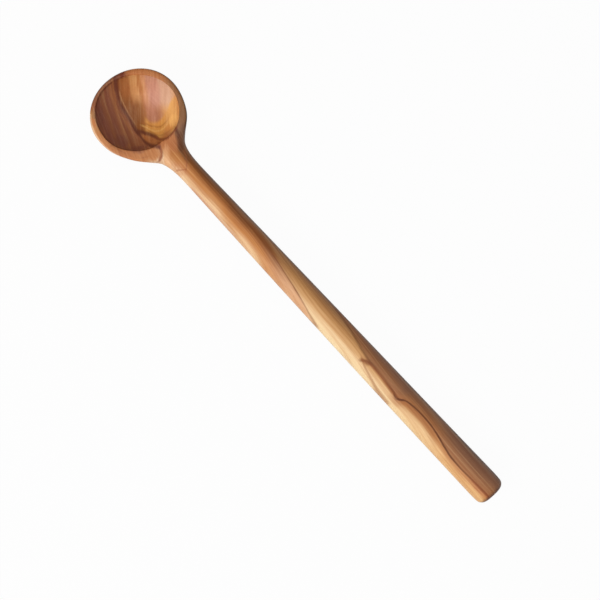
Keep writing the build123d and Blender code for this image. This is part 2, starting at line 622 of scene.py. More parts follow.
def drawn_line(tree, along, points, reach=BOWL_REACH, level_of=None):
    """The level of a line for every place along it; its points are places and levels."""
    share = calc(tree, "MULTIPLY_ADD", along, 0.5 / reach, 0.5)
    node = add(tree, "FloatCurve", {1: share})
    curve = node.mapping.curves[0]
    while len(curve.points) < len(points):
        curve.points.new(0.5, 0.5)
    for spot, (place, level) in zip(curve.points, sorted(points)):
        level = level_of(place, level) if level_of else level
        spot.location = (place / (2 * reach) + 0.5, level / (2 * LEVEL_REACH) + 0.5)
    node.mapping.update()
    return calc(tree, "MULTIPLY_ADD", node.outputs[0], 2 * LEVEL_REACH, -LEVEL_REACH)


print("the layer under the middle of the handle:", round(layer_under(0, 0), 2))

# %% [markdown]
# A vein is a thin dark sheet in the wood. One group masks all that lies close to a line, as a
# vein does, and the other masks all that lies beyond a line, as the heartwood does. Both only
# work between two places along the line and fade out past them.

# %% Veins and borders
LINE_INPUTS = [("Layer", "Float", 0.0), ("Level", "Float", 0.0), ("Along", "Float", 0.0)]
LINE_INPUTS += [("Width", "Float", 1.0), ("From", "Float", -200.0), ("To", "Float", 200.0)]
LINE_INPUTS += [("Fade", "Float", 8.0)]
VEIN_CORE = 0.15  # the share of a vein's width that is fully dark


def window(tree, given):
    """1 between From and To along the line, fading out beyond them."""
    first = minus(tree, given["From"], given["Fade"])
    last = calc(tree, "ADD", given["To"], given["Fade"])
    rise = ease(tree, given["Along"], first, given["From"])
    fall = ease(tree, given["Along"], given["To"], last, 1.0, 0.0)
    return times(tree, rise, fall)


vein, given, gives = new_group("vein", LINE_INPUTS, [("Mask", "Float")])
apart = calc(vein, "ABSOLUTE", minus(vein, given["Layer"], given["Level"]))
close = ease(vein, apart, times(vein, given["Width"], VEIN_CORE), given["Width"], 1.0, 0.0)
vein.links.new(times(vein, close, window(vein, given)), gives["Mask"])

beyond, given, gives = new_group("beyond_line", LINE_INPUTS, [("Mask", "Float")])
past = minus(beyond, given["Layer"], given["Level"])
over = ease(beyond, past, times(beyond, given["Width"], -1.0), given["Width"])
beyond.links.new(times(beyond, over, window(beyond, given)), gives["Mask"])
print("groups so far:", [group.name for group in bpy.data.node_groups])

# %% [markdown]
# Some places are simply tinted: a rosy patch in the hollow, stains in the heartwood, paler
# wood at the root of the handle. A tint is a soft egg of colour in the wood, its edge broken
# up along the grain. A round spot would look like paint.

# %% Tinted places
TINT_INPUTS = [("Position", "Vector", None), ("Centre", "Vector", None), ("Reach", "Vector", None)]
TINT_INPUTS += [("Turn", "Float", 0.0), ("Edge", "Float", 0.35), ("Rough Edge", "Float", 0.0)]

tint, given, gives = new_group("tint", TINT_INPUTS, [("Mask", "Float")])
from_centre = {0: given["Position"], 1: given["Centre"]}
moved = add(tint, "VectorMath", from_centre, operation="SUBTRACT").outputs[0]
by_turn = {0: moved, "Angle": given["Turn"]}
turned = add(tint, "VectorRotate", by_turn, rotation_type="Z_AXIS").outputs[0]
shrunk = add(tint, "VectorMath", {0: turned, 1: given["Reach"]}, operation="DIVIDE").outputs[0]
away = add(tint, "VectorMath", {0: shrunk}, operation="LENGTH").outputs["Value"]
away = calc(tint, "ADD", away, given["Rough Edge"])
inner = minus(tint, 1.0, given["Edge"])
outer = calc(tint, "ADD", 1.0, given["Edge"])
tint.links.new(ease(tint, away, inner, outer, 1.0, 0.0), gives["Mask"])
print("tint:", len(tint.nodes), "nodes")

# %% [markdown]
# The material reads Object coordinates, turned into millimetres. The handle and the bowl were
# drawn in two frames of their own. On the handle, x runs along and the leaning layers run
# across. In the bowl the figure lies askew: it is measured from the bowl's axis, up along the
# grain and across it, as the photograph shows it upright.

# %% The wood's own coordinates
BOWL_TIP = 0.17  # the bowl's layers tip this far along x for each millimetre of height
TIP_HEIGHT = 12.0  # where they are in their own place
OILED_SPECULAR = 0.18  # oil soaks in, so it shines less than varnish
ROOT_FADE = (-107.0, -101.0)  # the bowl's figure gives way to the handle's between these

wood = bpy.data.materials.new("olive_wood_oiled")
wood.use_nodes = True
tree = wood.node_tree
shader = tree.nodes["Principled BSDF"]
shader.inputs["Specular IOR Level"].default_value = OILED_SPECULAR
in_metres = add(tree, "TexCoord").outputs["Object"]
position = add(tree, "Mapping", {0: in_metres, "Scale": (1 / MM, 1 / MM, 1 / MM)}).outputs[0]
x, y, z = add(tree, "SeparateXYZ", {0: position}).outputs[:]
leaning = calc(tree, "MULTIPLY_ADD", minus(tree, z, TOP), -LEAN, y)

from_axis = minus(tree, x, BOWL_X)
tipped = calc(tree, "MULTIPLY_ADD", minus(tree, z, TIP_HEIGHT), -BOWL_TIP, from_axis)
from_bowl = add(tree, "CombineXYZ", {0: tipped, 1: y, 2: z}).outputs[0]
by_picture = {0: from_bowl, "Angle": -PICTURE_TURN}
bowl_place = add(tree, "VectorRotate", by_picture, rotation_type="Z_AXIS").outputs[0]
across, up, _ = add(tree, "SeparateXYZ", {0: bowl_place}).outputs[:]
fibre = use(tree, fibres, Position=position)
in_bowl = ease(tree, x, *ROOT_FADE, 1.0, 0.0)
print("material:", wood.name, "with", len(tree.nodes), "nodes so far")

# %% [markdown]
# Three lines carry the handle's figure. The long dark vein runs along the shaded side, then
# crosses aslant and leaves on the lit side. The border of the dark heartwood comes in half
# way along and has a notch in it. The grain follows the vein, and the streaks follow the
# grain. Straight streaks would be simpler, but they would cut through the veins.

# %% Lines of the handle's figure
LONG_VEIN = [(-98, 4.4), (-88, 3.9), (-75, 3.5), (-61.5, 3.9), (-55, 3.1), (-47, 2.8), (-40, 3.3)]
LONG_VEIN += [(-33.5, 3.2), (-26.5, 2.4), (-22, 1.5), (-16.5, 0.4), (-12, -0.5), (-6.5, -1.4)]
LONG_VEIN += [(-2.5, -2.2), (3, -3.3), (7, -4.2), (13.5, -5.9), (20.5, -7.7), (28, -10.5)]
LONG_VEIN += [(40, -14), (60, -20)]
DARK_SIDE = [(-10, 7.4), (10, 6.8), (28.5, 5.4), (35, 4.4), (42, 2.8), (48.5, 1.4), (54, 0.6)]
DARK_SIDE += [(62, 0.2), (70, -0.6), (75, -1.4), (78.5, -2.4), (80.5, -1.2), (82.5, 0.1)]
DARK_SIDE += [(85.5, 0.9), (91, 1.4), (99, 1.4), (106, 0.5), (110.5, -0.5), (114, -1.3)]
DARK_SIDE += [(117.5, -2.0), (120.5, -2.5), (125.5, -2.8), (131, -2.9), (137.5, -2.6), (151, -2.7)]
GRAIN = [(-110, 3.6), (-75, 3.6), (-40, 3.0), (-15, 0.0), (10, -4.2), (40, -9.0), (70, -12.0)]
GRAIN += [(90, -12.2), (115, -14.6), (151, -15.2)]


def handle_line(points):
    """A line along the handle, in its leaning layers."""
    return drawn_line(tree, x, points, HANDLE_REACH, layer_under)


long_vein = handle_line(LONG_VEIN)
dark_side = handle_line(DARK_SIDE)
off_grain = minus(tree, leaning, handle_line(GRAIN))
streak_place = {"Across": off_grain, "Along": x, "Depth": z}
broad = use(tree, streaks, Fineness=0.35, Stretch=0.012, Seed=3.0, **streak_place)
fine = use(tree, streaks, Fineness=1.1, Stretch=0.018, Seed=11.0, **streak_place)
shaken = shake(tree, shake(tree, leaning, fine, 2.4), broad, 1.6)
print("points of the long vein:", len(LONG_VEIN), "and of the dark side:", len(DARK_SIDE))

# %% [markdown]
# Near the neck the wood is palest far from the vein and orange brown beside it. In the middle the
# colours follow the handle's width, from cream to brown. The last stops of each ramp lie on the
# flank away from the key and are darkened as painted shade as well as wood. Each entry is a place
# across the layers, in millimetres, and the colour there.

# %% Colours near the neck and in the middle
NEAR_TONES = [
    (-12.0, (222, 182, 144)), (-9.4, (230, 190, 148)), (-8.4, (224, 182, 136)),
    (-7.2, (204, 150, 100)), (-5.6, (196, 131, 72)), (-3.5, (176, 110, 56)),
    (-1.3, (144, 87, 45)), (0.0, (132, 80, 44)), (1.5, (150, 102, 68)),
    (3.2, (152, 108, 78)), (6.0, (124, 90, 68)),
]
MIDDLE_TONES = [
    (-8.0, (236, 210, 166)), (-5.0, (234, 204, 158)), (-3.0, (226, 188, 140)),
    (-1.0, (212, 164, 110)), (1.0, (196, 144, 88)), (3.0, (186, 134, 82)),
    (5.0, (178, 128, 82)), (7.5, (158, 112, 76)), (10.0, (122, 88, 66)),
]
PEACH = (214, 164, 122)
FRONT_SLANT = 2.2  # zones meet along a front that runs this far back for each millimetre across
NEAR_TO_MIDDLE = (-38.0, 6.0)
NEAR_TO_PEACH = (-34.0, 2.0)

near_wood = ramp(tree, minus(tree, shaken, long_vein), NEAR_TONES)
middle_wood = ramp(tree, shaken, MIDDLE_TONES)
slanted = calc(tree, "MULTIPLY_ADD", leaning, FRONT_SLANT, x)
above = mix(tree, ease(tree, slanted, *NEAR_TO_MIDDLE), near_wood, middle_wood)
under = mix(tree, ease(tree, x, *NEAR_TO_PEACH), near_wood, colour(*PEACH))
above_vein = use(tree, beyond, Layer=leaning, Level=long_vein, Along=x, Width=0.8)
handle = mix(tree, above_vein, under, above)
print("tones near the neck:", len(NEAR_TONES), "and in the middle:", len(MIDDLE_TONES))

# %% [markdown]
# Past the middle the colours follow the edge of the dark heartwood, on both sides of it. The
# border starts as a soft, ragged shadow and becomes a crisp line at the notch, so it is made
# of two masks, a soft one and a crisp one, and the larger of the two counts.

# %% Colours of the far end and the heartwood
FAR_TONES = [
    (-9.0, (228, 192, 142)), (-5.0, (230, 190, 138)), (-2.8, (222, 174, 118)),
    (-1.2, (196, 138, 86)), (2.0, (180, 122, 76)),
]
# the last stops lie on the flank away from the key and are darkened as painted shade as well as
# wood
HEART_TONES = [
    (-1.0, (164, 110, 70)), (1.5, (164, 112, 74)), (3.5, (156, 106, 70)),
    (6.0, (148, 104, 76)), (9.0, (142, 100, 76)), (12.0, (128, 94, 76)),
]
MIDDLE_TO_FAR = (58.0, 92.0)

off_border = minus(tree, shaken, dark_side)
far_wood = ramp(tree, off_border, FAR_TONES)
handle = mix(tree, ease(tree, slanted, *MIDDLE_TO_FAR), handle, far_wood)
border = {"Level": dark_side, "Along": x}
soft_heart = use(tree, beyond, Layer=shaken, Width=1.5, From=6.0, To=74.0, Fade=30.0, **border)
crisp_heart = use(tree, beyond, Layer=leaning, Width=0.6, From=77.0, To=200.0, Fade=3.0, **border)
heartwood = ramp(tree, off_border, HEART_TONES)
handle = mix(tree, larger(tree, soft_heart, crisp_heart), handle, heartwood)
print("nodes so far:", len(tree.nodes))

# %% [markdown]
# In the bowl the wood is cut across two lots of layers. A dark vein comes in at the top left,
# swings down through the hollow and leaves along its lower edge. Low on the right, where the
# scoop cuts the layers flat, they open out into arcs. All of these are drawn lines again:
# some have a place across for each place up, the others the other way round.

# %% Lines of the hollow's figure
# up along the grain, and across it
BOWL_VEIN = [(28, -13.5), (18, -12.2), (15, -12.0), (12, -11.5), (7, -10.2), (4, -9.0)]
BOWL_VEIN += [(1.5, -7.5), (0, -6.5), (-2.5, -5.0), (-5, -3.5), (-7.5, -2.2), (-9.5, -0.8)]
BOWL_VEIN += [(-11, 0.5), (-13.5, 2.3), (-15.5, 4.8), (-17, 8.0), (-17.5, 11.0), (-20, 12.0)]
BOWL_VEIN += [(-28, 10.0)]
SOFT_VEIN = [(28, -13.0), (14, -11.8), (6, -10.0), (0, -8.0), (-8, -5.2), (-15, -2.6)]
SOFT_VEIN += [(-22, 0.0), (-28, 2.5)]
# across the grain, and up along it
ARC = [(-4, -3.0), (0, -4.0), (4, -5.2), (8, -6.5), (12, -6.5), (14, -5.0), (16, -2.8)]
ARC += [(19, 2.0), (24, 9.0)]
PINK_EDGE = [(-4, 4.0), (0, 1.5), (2, 0.0), (3.5, -1.8), (5, -3.3), (6.5, -4.2), (9, -4.4)]
PINK_EDGE += [(12, -2.9), (14, -0.6), (15.5, 2.0), (16.5, 5.0), (18, 8.0), (24, 12.0)]
PALE_ARC = [(0, -5.4), (4, -7.0), (7, -8.5), (10, -9.2), (13, -8.0), (15, -6.0), (17, -3.5)]
PALE_ARC += [(20, 0.0)]
LOW_ARC = [(4, -8.0), (8, -10.0), (11, -11.3), (14, -10.5), (17, -8.5), (20, -5.0)]
SECOND_VEIN = [(-3, -8.6), (-1, -9.0), (2, -9.8), (5, -10.5), (8, -11.5), (10.5, -12.8)]
SECOND_VEIN += [(12, -13.5), (14.5, -13.2), (16, -12.5), (17.5, -11.0), (19, -9.0), (21, -6.5)]
LAST_VEIN = [(-3, -7.5), (-1, -9.5), (0.5, -11.0), (2, -13.2), (4, -15.2), (7, -16.8)]
LAST_VEIN += [(9.5, -17.3), (13, -17.8)]


def up_line(points):
    """A line that runs up the bowl, along the grain."""
    return drawn_line(tree, up, points)


def cross_line(points):
    """A line that runs across the bowl's grain."""
    return drawn_line(tree, across, points)


bowl_vein = up_line(BOWL_VEIN)
soft_vein = up_line(SOFT_VEIN)
second_vein = cross_line(SECOND_VEIN)
print("points of the bowl's vein:", len(BOWL_VEIN), "and of the second:", len(SECOND_VEIN))

# %% [markdown]
# The streaks left of the vein run with it, and those right of it run straight up. One noise
# for both would be simpler, but then the same streak would go on through the vein. Each side
# has a broad noise for the slow changes and a fine one for the thin stripes.

# %% Streaks of the hollow
off_vein = minus(tree, across, soft_vein)
left_place = {"Across": off_vein, "Along": up, "Depth": z}
right_place = {"Across": across, "Along": up, "Depth": z}
heart_broad = use(tree, streaks, Fineness=0.4, Stretch=0.03, Seed=5.0, **left_place)
heart_fine = use(tree, streaks, Fineness=0.9, Stretch=0.05, Seed=7.0, **left_place)
inner_broad = use(tree, streaks, Fineness=0.4, Stretch=0.05, Seed=2.0, **right_place)
inner_fine = use(tree, streaks, Fineness=0.85, Stretch=0.06, Seed=9.0, **right_place)
ruffled_up = shake(tree, shake(tree, up, inner_fine, 0.9), fibre, 0.7)
wavy_across = shake(tree, shake(tree, across, heart_fine, 0.8), fibre, 0.8)
wavy_layer = shake(tree, leaning, fibre, 0.7)
print("nodes so far:", len(tree.nodes))

# %% [markdown]
# Right of the vein come bands of orange, tan and pink, side by side, deeper in colour in the
# lower half. One ramp could serve for both halves, darkened below, but pink and orange don't
# darken alike, so each half has its own and they meet along a ragged front.

# %% Bands of the hollow
UPPER_BANDS = [
    (-11.0, (146, 88, 50)), (-8.0, (161, 99, 54)), (-5.6, (166, 104, 59)),
    (-4.0, (200, 142, 88)), (-1.0, (204, 146, 92)), (0.2, (184, 120, 70)),
    (1.2, (186, 122, 72)), (2.3, (212, 150, 106)), (3.6, (206, 146, 106)),
    (4.8, (199, 142, 115)), (9.5, (200, 144, 118)), (11.0, (211, 165, 136)),
    (15.5, (216, 170, 140)), (18.5, (224, 172, 128)), (21.0, (222, 164, 112)),
]
LOWER_BANDS = [
    (-12.0, (138, 84, 46)), (-8.0, (140, 84, 42)), (-2.4, (144, 87, 42)),
    (-1.0, (154, 96, 50)), (1.0, (170, 110, 66)), (2.4, (184, 124, 92)),
    (5.0, (185, 126, 99)), (7.5, (173, 114, 85)), (9.6, (188, 130, 92)),
    (11.6, (212, 152, 94)), (14.5, (228, 168, 98)), (17.0, (228, 168, 100)),
    (19.5, (214, 150, 88)),
]
BAND_LEAN = 0.17  # the bands lean this far across for each millimetre up
BAND_MIDDLE = 16.0
FRONT_LEAN = 0.25  # the front between the halves falls this much for each millimetre across
FRONT = (11.5, 3.5)  # the upper bands give way to the lower ones between these heights

banded = calc(tree, "MULTIPLY_ADD", minus(tree, up, BAND_MIDDLE), BAND_LEAN, across)
banded = shake(tree, shake(tree, banded, inner_broad, 2.6), inner_fine, 2.4)
upper_wood = ramp(tree, banded, UPPER_BANDS)
lower_wood = ramp(tree, banded, LOWER_BANDS)
downward = calc(tree, "MULTIPLY_ADD", across, FRONT_LEAN, up)
downward = shake(tree, shake(tree, downward, inner_broad, 5.0), inner_fine, 5.0)
hollow = mix(tree, ease(tree, downward, *FRONT), upper_wood, lower_wood)
print("bands:", len(UPPER_BANDS), "above and", len(LOWER_BANDS), "below")

# %% [markdown]
# Below the pink wood lies golden wood, and below the second vein a brown one. The border
# group masks what is beyond a line, and here beyond means below, so both the height and the
# line are turned upside down.

# %% Golden wood low in the hollow
GOLD = (212, 148, 74)
LOW_BROWN = (180, 114, 66)


def below(level, width, start, end, fade):
    """1 below a line of the hollow, from one place across to another."""
    sockets = {"Layer": times(tree, ruffled_up, -1.0), "Level": times(tree, level, -1.0)}
    return use(tree, beyond, Along=across, Width=width, From=start, To=end, Fade=fade, **sockets)


golden = mix(tree, ease(tree, across, 13.0, 17.0), colour(*GOLD), lower_wood)
under_pink = below(cross_line(PINK_EDGE), 1.6, 5.0, 24.0, 2.5)
under_second = below(second_vein, 0.4, -1.0, 12.0, 2.0)
hollow = mix(tree, under_pink, hollow, golden)
hollow = mix(tree, under_second, hollow, colour(*LOW_BROWN))
print("gold for the shader:", [round(c, 3) for c in colour(*GOLD)])

# %% [markdown]
# Left of the vein lies the purple brown heartwood, striped with paler wood. The stripes could
# be drawn as lines, but no single one of them matters as the bold vein does, so the two
# noises shake one ramp into stripes.

# %% Heartwood of the bowl
BOWL_HEART = [
    (-18.0, (138, 86, 70)), (-14.0, (146, 92, 68)), (-11.0, (136, 82, 66)),
    (-8.5, (154, 100, 67)), (-6.0, (140, 86, 66)), (-3.0, (162, 106, 68)),
    (-1.5, (142, 88, 62)), (0.5, (160, 102, 68)),
]

heart_place = shake(tree, shake(tree, off_vein, heart_broad, 5.0), heart_fine, 3.0)
bowl_heart = ramp(tree, heart_place, BOWL_HEART)
vein_place = {"Layer": across, "Level": bowl_vein, "Along": up}
right_of_vein = use(tree, beyond, Width=0.5, From=-40.0, To=40.0, **vein_place)
hollow = mix(tree, right_of_vein, bowl_heart, hollow)
print("tones of the bowl's heartwood:", len(BOWL_HEART))

# %% [markdown]
# The lip is cut through yet other layers, so its colours change on the way round: gold at the left,
# peach at the lower left, tan up to the root of the handle, brown on the right, orange at the top,
# and dark where the vein crosses it. The brown on the right is partly the wood and partly painted
# shade, where the lip slopes away from the key. They are set out by direction, as the numbers on a
# clock face are, because a hand-cut lip shows no single set of layers.

# %% Colours of the lip
# the direction in degrees, from right of the bowl's axis and turning up, and the colour there
LIP_TONES = [
    (-180.0, (190, 138, 82)), (-170.0, (200, 150, 94)), (-155.0, (190, 124, 74)),
    (-140.0, (196, 132, 84)), (-115.0, (180, 114, 68)), (-90.0, (188, 122, 74)),
    (-45.0, (184, 118, 70)), (-30.0, (150, 102, 68)), (0.0, (136, 94, 60)),
    (40.0, (150, 100, 62)), (60.0, (184, 116, 68)), (102.0, (184, 112, 62)),
    (110.0, (118, 56, 34)), (116.0, (118, 56, 34)), (122.0, (146, 96, 66)),
    (160.0, (144, 92, 64)), (172.0, (154, 92, 58)), (180.0, (190, 138, 82)),
]

direction = calc(tree, "DEGREES", calc(tree, "ARCTAN2", up, across))
direction = shake(tree, direction, inner_fine, 14.0)
flat = add(tree, "CombineXYZ", {0: from_axis, 1: y}).outputs[0]
radius = add(tree, "VectorMath", {0: flat}, operation="LENGTH").outputs["Value"]
# the brown stops on the right are partly painted shade, where the lip slopes away from the key
lip_wood_and_shade = ramp(tree, direction, LIP_TONES)
outside = ease(tree, radius, 23.6, 24.4)
bowl = mix(tree, larger(tree, ease(tree, z, 16.6, 17.1), outside), hollow, lip_wood_and_shade)
print("tones round the lip:", len(LIP_TONES))

# %% [markdown]
# Three things set the lip off, and all three are painted light and shade. Its inner edge is darker
# on the left, along the heartwood, and at the bottom: a painted shade where the steep wall of the
# hollow lies in shadow. Its outer side gets a painted shade on the right and over the top, where it
# faces away from the key, and a pale painted highlight at the lower left, where the key catches it.
# All this could be left to the lamps, but would be gone in other light.

# %% Painted shade and highlight on the lip's edges
# colours of the painted shade at the inner edge, of the painted shade on the outer side, and of the
# painted highlight at the lower left
EDGE_SHADE = (104, 56, 40)
OUTER_SHADE = (84, 56, 38)
RIM_HIGHLIGHT = (240, 200, 162)

# painted shade at the lip's inner edge, on the left and at the bottom, where the hollow's steep
# wall lies in shadow
at_edge = times(tree, ease(tree, z, 15.4, 16.4), ease(tree, z, 17.25, 17.0))
at_edge = times(tree, at_edge, ease(tree, radius, 24.6, 24.0))
leftwards = ease(tree, across, -4.0, -13.0, 0.0, 0.75)
downwards = ease(tree, up, -13.0, -17.0, 0.0, 0.6)
painted_edge_shade = times(tree, at_edge, larger(tree, leftwards, downwards))
bowl = mix(tree, painted_edge_shade, bowl, colour(*EDGE_SHADE))
# painted shade on the lip's outer side, on the right and over the top, where it faces away from the
# key
outer_side = times(tree, ease(tree, z, 17.3, 16.5), outside)
shaded_side = times(tree, ease(tree, direction, -50.0, -15.0), ease(tree, direction, 175.0, 150.0))
bowl = coat(tree, bowl, times(tree, outer_side, shaded_side), OUTER_SHADE, 0.85)
# painted highlight on the lip's outer edge at the lower left, where the key catches it
lower_left_highlight = times(tree, ease(tree, direction, -100.0, -120.0), ease(tree, radius, 24.2, 25.0))
bowl = coat(tree, bowl, lower_left_highlight, RIM_HIGHLIGHT, 0.65)
figure = mix(tree, in_bowl, handle, bowl)
print("nodes so far:", len(tree.nodes))

# %% [markdown]
# Small places of their own: stains, paler wood at the root, and a painted shade on the side of the
# shoulder that faces away from the key. They could be painted on the surface, but as eggs of colour
# in the wood they run on over the lip, as real stains do. Their centres are given in the bowl's own
# frame.

# %% Tints
TINTS = [
    # centre, reach, direction in degrees, colour, strength
    ((-22.0, -2.0, 10), (3, 6, 20), 0, (122, 76, 66), 0.5),
    ((-9.0, -14.5, 6), (4, 3, 20), -20, (122, 74, 66), 0.5),
    ((1.0, -19.0, 10), (6, 2, 20), 0, (118, 70, 62), 0.5),
    ((8.5, 12.0, 8), (3.5, 7, 20), 5, (196, 136, 116), 0.5),
    ((12.0, -11.6, 8), (2.2, 1.2, 20), 10, (214, 162, 84), 0.7),
    ((16.5, -7.0, 10), (2.5, 2.0, 20), 40, (214, 140, 68), 0.7),
    ((18.6, -3.2, 10), (2.2, 3.4, 20), -15, (246, 188, 112), 0.8),
    ((-23.6, -5.0, 17), (1.0, 3.0, 20), 15, (198, 120, 70), 0.7),
    ((-11.5, -18.4, 17), (4.5, 0.55, 20), -30, (116, 62, 36), 0.3),
    ((8.5, -21.8, 17), (2.2, 1.4, 20), 0, (196, 130, 76), 0.5),
    ((7.5, -21.5, 17), (5.0, 3.4, 20), -8, (188, 122, 72), 0.85),
    ((16.5, -15.5, 17), (5.0, 6.0, 20), 10, (184, 114, 66), 0.85),
    ((15.5, -23.0, 17), (2.0, 6.5, 20), 8, (220, 162, 112), 0.7),
    ((19.0, -24.0, 17), (2.2, 5.0, 20), 25, (186, 120, 62), 0.7),
    # these two are painted shade on the right side of the shoulder, away from the key
    ((23.5, -12.0, 15), (1.6, 7.0, 20), 0, (128, 92, 70), 0.7),
    ((24.0, -20.5, 15), (1.5, 5.5, 20), 27, (128, 82, 50), 0.7),
    ((22.5, -29.0, 12), (5.0, 4.0, 20), 0, (192, 124, 80), 0.4),
]
ragged = calc(tree, "MULTIPLY_ADD", inner_fine, 1.2, -0.6)
tint_frame = {"Position": bowl_place, "Rough_Edge": ragged}
for centre, reach, turn, tone, strength in TINTS:
    egg = use(tree, tint, Centre=centre, Reach=reach, Turn=math.radians(-turn), **tint_frame)
    figure = coat(tree, figure, egg, tone, strength)
print("tints:", len(TINTS))

# %% [markdown]
# The lines come last, over everything else. Most of the bowl's are there already, as borders
# between its colours. Only two creases low on the right are new, painted shade in the valleys where
# the lip's shoulders meet the handle's root, and a light and an olive line that run with the dark
# vein. A noise could make such lines, but not in their places.

# %% More lines of the bowl
# painted shade in the two creases between the lip's shoulders and the handle's root
LEFT_CREASE_SHADE = [(-14.5, 11.0), (-17.5, 11.4), (-20, 12.2), (-22, 12.3), (-24, 11.6)]
LEFT_CREASE_SHADE += [(-25.5, 10.6), (-28, 8.0)]
RIGHT_CREASE_SHADE = [(-5.5, 19.4), (-8, 20.2), (-10, 21.0), (-12.5, 21.5), (-15, 22.0)]
RIGHT_CREASE_SHADE += [(-18, 22.6), (-22, 23.4)]
LIGHT_LINE = [(14, -10.8), (12, -10.3), (9, -9.5), (6.5, -8.5), (3.5, -7.0), (0.5, -5.5)]
LIGHT_LINE += [(-2, -4.0), (-6, -1.4)]
OLIVE_LINE = [(20, -13.9), (16, -13.5), (12, -13.3), (8, -12.5), (4, -12.0), (0, -9.6)]
OLIVE_LINE += [(-5, -6.5), (-10, -3.8)]
print("points of the two creases:", len(LEFT_CREASE_SHADE), "and", len(RIGHT_CREASE_SHADE))

# %% [markdown]
# Each line is laid over the wood by the same few steps, so one function draws a whole table
# of them. A line may be there twice, broad and soft first and then thin and dark, because a
# real vein has a shadow of stained wood beside it.

# %% Draw the lines of the bowl
# points, width, start, end, how softly it fades there, colour and strength of each line
UP_LINES = [
    (OLIVE_LINE, 0.8, -9.0, 18.0, 4.0, (164, 108, 66), 0.7),
    (LIGHT_LINE, 0.7, -4.0, 11.0, 4.0, (178, 128, 86), 0.7),
    (BOWL_VEIN, 2.0, -9.5, 2.0, 4.0, (110, 62, 46), 0.9),
    (BOWL_VEIN, 1.5, 2.0, 30.0, 3.0, (110, 62, 46), 0.9),
    (BOWL_VEIN, 2.3, 13.5, 22.0, 2.5, (110, 60, 44), 0.6),
    # the two creases: painted shade at the handle's root
    (LEFT_CREASE_SHADE, 1.3, -25.0, -15.5, 1.5, (136, 66, 36), 0.7),
    (RIGHT_CREASE_SHADE, 2.4, -18.0, -9.5, 3.5, (104, 62, 38), 0.8),
    (RIGHT_CREASE_SHADE, 1.0, -12.0, -8.0, 2.0, (96, 50, 30), 0.8),
]
CROSS_LINES = [
    (ARC, 0.9, 3.0, 14.0, 3.0, (170, 106, 52), 0.55),
    (PALE_ARC, 0.9, 3.0, 15.0, 3.0, (224, 172, 98), 0.65),
    (LOW_ARC, 0.7, 6.5, 16.0, 2.5, (170, 106, 54), 0.45),
    (LAST_VEIN, 1.8, -0.5, 11.0, 1.5, (108, 58, 42), 0.85),
    (SECOND_VEIN, 1.9, 0.5, 9.5, 2.5, (110, 60, 40), 0.9),
    (SECOND_VEIN, 1.3, 10.0, 20.0, 2.0, (134, 72, 42), 0.8),
]


def draw(surface, lines, line_of, layer, along):
    """Lays each of these lines over the surface's colour."""
    for points, width, start, end, fade, tone, strength in lines:
        limits = {"Width": width, "From": start, "To": end, "Fade": fade}
        mask = use(tree, vein, Layer=layer, Level=line_of(points), Along=along, **limits)
        surface = coat(tree, surface, mask, tone, strength)
    return surface


figure = draw(figure, UP_LINES, up_line, wavy_across, up)
figure = draw(figure, CROSS_LINES, cross_line, ruffled_up, across)
print("lines in the bowl:", len(UP_LINES) + len(CROSS_LINES))

# %% [markdown]
# The handle has a mark like an arrowhead past its middle, a warm halo beside the edge of the
# heartwood, two small marks on the neck and reddish streaks at the far end. They could be
# part of the ramps, but a ramp has no beginning and no end along the wood.

# %% Marks of the handle
NECK_MARK_LOW = [(-92, -6.0), (-90.5, -5.2), (-89, -3.6), (-87.5, -1.6), (-86, 0.5)]
NECK_MARK_HIGH = [(-97, 5.0), (-95, 4.3), (-92.5, 3.2), (-90.5, 1.8), (-87.5, -1.4), (-85, -4.0)]
ARROW_UPPER = [(50, -2.4), (51, -2.0), (52.5, -0.9), (55.5, -0.3), (60, -0.1), (69, -0.9)]
ARROW_UPPER += [(75.5, -1.5), (80, -2.3)]
ARROW_LOWER = [(50, -1.6), (51, -2.0), (54, -3.3), (58, -4.4), (62, -5.4), (66, -6.4)]
ARROW_LOWER += [(71.5, -7.2), (82.5, -7.9)]
ARROW_FILL = [(49, -2.0), (52, -1.9), (54, -1.8), (58, -2.2)]
ARROW_HALO = [(40, 1.0), (54, -0.1), (62, -0.5), (70, -1.3), (78, -2.4), (84, -2.0)]
DARK_HALO = [(70, -1.4), (80, -1.6), (85, -0.1), (91, 0.3), (99, 0.4), (106, -0.6)]
DARK_HALO += [(114, -2.3), (122, -3.3)]
EDGE_RED = [(-90, -5.6), (-75, -6.0), (-60, -6.4), (-45, -6.9), (-30, -7.3)]
EDGE_CREAM = [(-90, -5.0), (-75, -5.4), (-60, -5.7), (-45, -6.1), (-30, -6.5)]
END_RED = [(120, -3.4), (140, -2.9), (146, -2.8), (152, -2.9)]
END_RED_LOW = [(120, -4.6), (138, -4.2), (146, -4.0), (152, -4.1)]
print("points of the arrowhead's edges:", len(ARROW_UPPER), "and", len(ARROW_LOWER))

# %% [markdown]
# No real vein is even. A line whose width changes along it would need one more curve, so the
# long vein and the edge of the heartwood are drawn in stretches instead, each with its own
# width and darkness, and they fade into each other.

